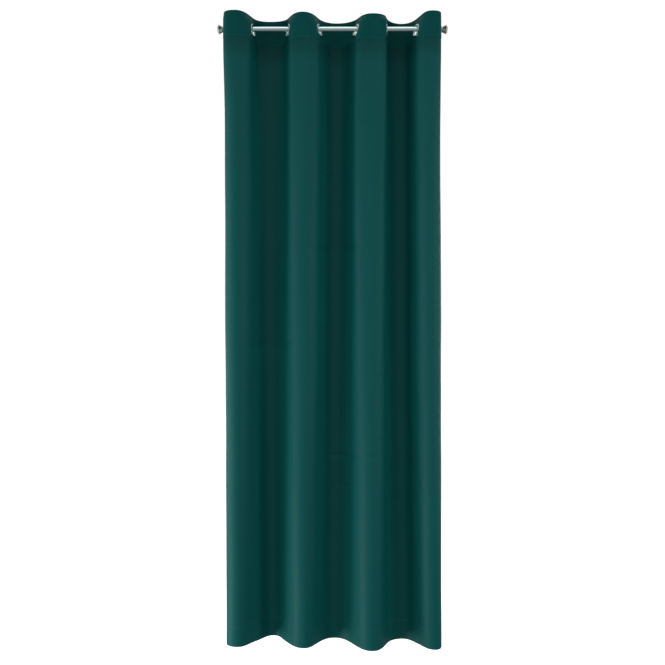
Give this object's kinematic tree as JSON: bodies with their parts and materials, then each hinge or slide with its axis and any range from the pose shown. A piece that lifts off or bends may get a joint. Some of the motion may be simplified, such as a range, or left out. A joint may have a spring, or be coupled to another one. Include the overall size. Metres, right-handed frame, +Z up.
{
  "type": "eyelet blackout curtain with rod",
  "caption": "Dark green blackout curtain hanging in soft folds from metal eyelet rings on a round rod with flared end knobs.",
  "frame": {"origin": "on the rod's axis at mid length, where the rod is held", "axes": "+Z up, +X along the rod to the right as seen from the room, -Y toward the room"},
  "size_m": [0.9194, 0.1555, 2.5],
  "materials": {
    "cloth": "smooth dim satin weave",
    "heading_cloth": "smooth dim satin weave, stiffened",
    "ring_metal": "polished",
    "rod_metal": "satin",
    "knob_metal": "polished dark nickel"
  },
  "bodies": {
    "root": {"curtain_panel": "cloth", "heading": "heading_cloth", "eyelet_1": "ring_metal", "eyelet_2": "ring_metal", "eyelet_3": "ring_metal", "eyelet_4": "ring_metal", "eyelet_5": "ring_metal", "eyelet_6": "ring_metal", "eyelet_7": "ring_metal", "eyelet_8": "ring_metal", "rod": "rod_metal", "finial_left": "knob_metal", "finial_right": "knob_metal"}
  },
  "joints": []
}
